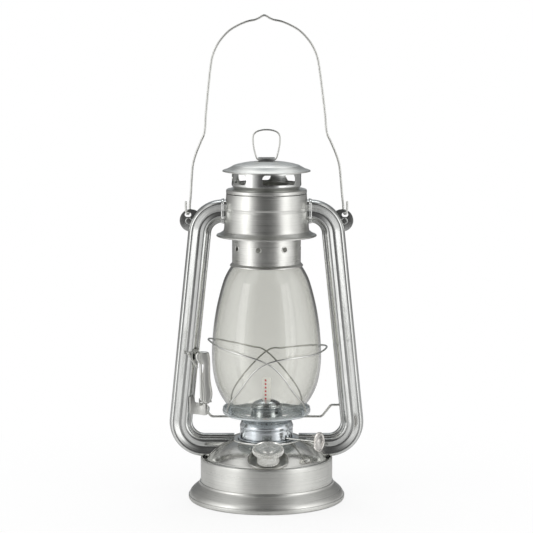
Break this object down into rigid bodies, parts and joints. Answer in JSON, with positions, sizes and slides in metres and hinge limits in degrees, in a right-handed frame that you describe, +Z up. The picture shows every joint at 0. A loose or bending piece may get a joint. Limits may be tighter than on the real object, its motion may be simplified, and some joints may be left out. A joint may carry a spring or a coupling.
{
  "type": "oil lantern",
  "caption": "Tubular kerosene lantern with a round fount, bent side air tubes, glass globe, wick burner, vented cap, carrying bail and globe lift lever.",
  "frame": {"origin": "centre of the foot's underside, on the surface the lantern stands on", "axes": "+Z up, -Y is the front with the filler cap, +X is the side with the wick knob"},
  "size_m": [0.162, 0.13, 0.4035],
  "materials": {
    "satin_tin": "satin tinned steel sheet, fine horizontal grain",
    "bright_tin": "bright tinned steel, mirror-like with drawn streaks",
    "zinc_plate": "bluish zinc-plated steel",
    "steel_wire": "drawn galvanised steel wire",
    "nickel_plate": "warm pale nickel plate",
    "glass": "clear blown soda-lime glass",
    "cotton": "woven cotton tape with a red marker thread",
    "rubber": "black rubber washer"
  },
  "bodies": {
    "frame": {"fount_shell": "satin_tin", "foot_skirt": "satin_tin", "fount_bottom": "satin_tin", "filler_well": "satin_tin", "burner_flange": "zinc_plate", "burner_body": "zinc_plate", "burner_cone": "zinc_plate", "hood_shell": "satin_tin", "hood_ring": "satin_tin", "left_tube": "bright_tin", "left_upper_collar": "bright_tin", "left_front_saddle": "satin_tin", "left_back_saddle": "satin_tin", "left_bail_ear": "bright_tin", "right_tube": "bright_tin", "right_upper_collar": "bright_tin", "right_front_saddle": "satin_tin", "right_back_saddle": "satin_tin", "right_bail_ear": "bright_tin", "lever_bracket": "bright_tin", "lever_catch": "steel_wire", "canopy_spring": "steel_wire", "wick_tube": "zinc_plate", "lever_pin": "steel_wire"},
    "carriage": {"globe_plate": "zinc_plate", "globe": "glass", "lift_wire": "steel_wire", "guard_wire_left": "steel_wire", "guard_wire_right": "steel_wire"},
    "canopy": {"globe_collar": "satin_tin", "chimney": "satin_tin", "crown": "bright_tin", "canopy_cap": "satin_tin", "cap_strap": "bright_tin"},
    "ring": {"lift_ring": "steel_wire"},
    "bail": {"bail": "steel_wire"},
    "lever": {"lift_lever": "bright_tin"},
    "wick_drive": {"wick_spindle": "steel_wire", "wick_knob": "nickel_plate", "inner_sprocket": "steel_wire", "outer_sprocket": "steel_wire"},
    "wick": {"wick": "cotton"},
    "gasket": {"cap_gasket": "rubber"},
    "filler_cap": {"filler_cap": "nickel_plate"}
  },
  "joints": [
    {"name": "bail_swing", "type": "hinge", "parent": "frame", "child": "bail", "pos_m": [0, 0, 0.2423], "axis": [1, 0, 0], "range_deg": [-120, 120]},
    {"name": "globe_lift", "type": "slide", "parent": "frame", "child": "carriage", "axis": [0, 0, 1], "range_m": [0, 0.011]},
    {"name": "lever_turn", "type": "hinge", "parent": "frame", "child": "lever", "pos_m": [-0.051, -0.0116, 0.0842], "axis": [1, 0, 0], "range_deg": [0, 110]},
    {"name": "canopy_lift", "type": "slide", "parent": "carriage", "child": "canopy", "axis": [0, 0, 1], "range_m": [0, 0.015], "stiffness_N_per_m": 150, "springref_m": -0.02, "deforming": ["canopy_spring"]},
    {"name": "ring_fold", "type": "hinge", "parent": "canopy", "child": "ring", "pos_m": [0, 0, 0.28465], "axis": [1, 0, 0], "range_deg": [-90, 90]},
    {"name": "wick_turn", "type": "hinge", "parent": "frame", "child": "wick_drive", "pos_m": [-0.00245, -0.00436, 0.0536], "axis": [0.8721, -0.4894, 0], "range_deg": [-257.8, 85.9]},
    {"name": "wick_raise", "type": "slide", "parent": "frame", "child": "wick", "axis": [0, 0, 1], "range_m": [-0.018, 0.006]},
    {"name": "cap_lift", "type": "slide", "parent": "frame", "child": "gasket", "axis": [0, -0.2773, 0.9608], "range_m": [0, 0.03]},
    {"name": "cap_turn", "type": "hinge", "parent": "gasket", "child": "filler_cap", "pos_m": [0.0013, -0.0416, 0.0395], "axis": [0, -0.2773, 0.9608], "continuous": true}
  ],
  "couplings": [
    {"joint": "lever_turn", "follows": "globe_lift", "rad_per_m": 174.5},
    {"joint": "wick_raise", "follows": "wick_turn", "m_per_rad": 0.004}
  ]
}
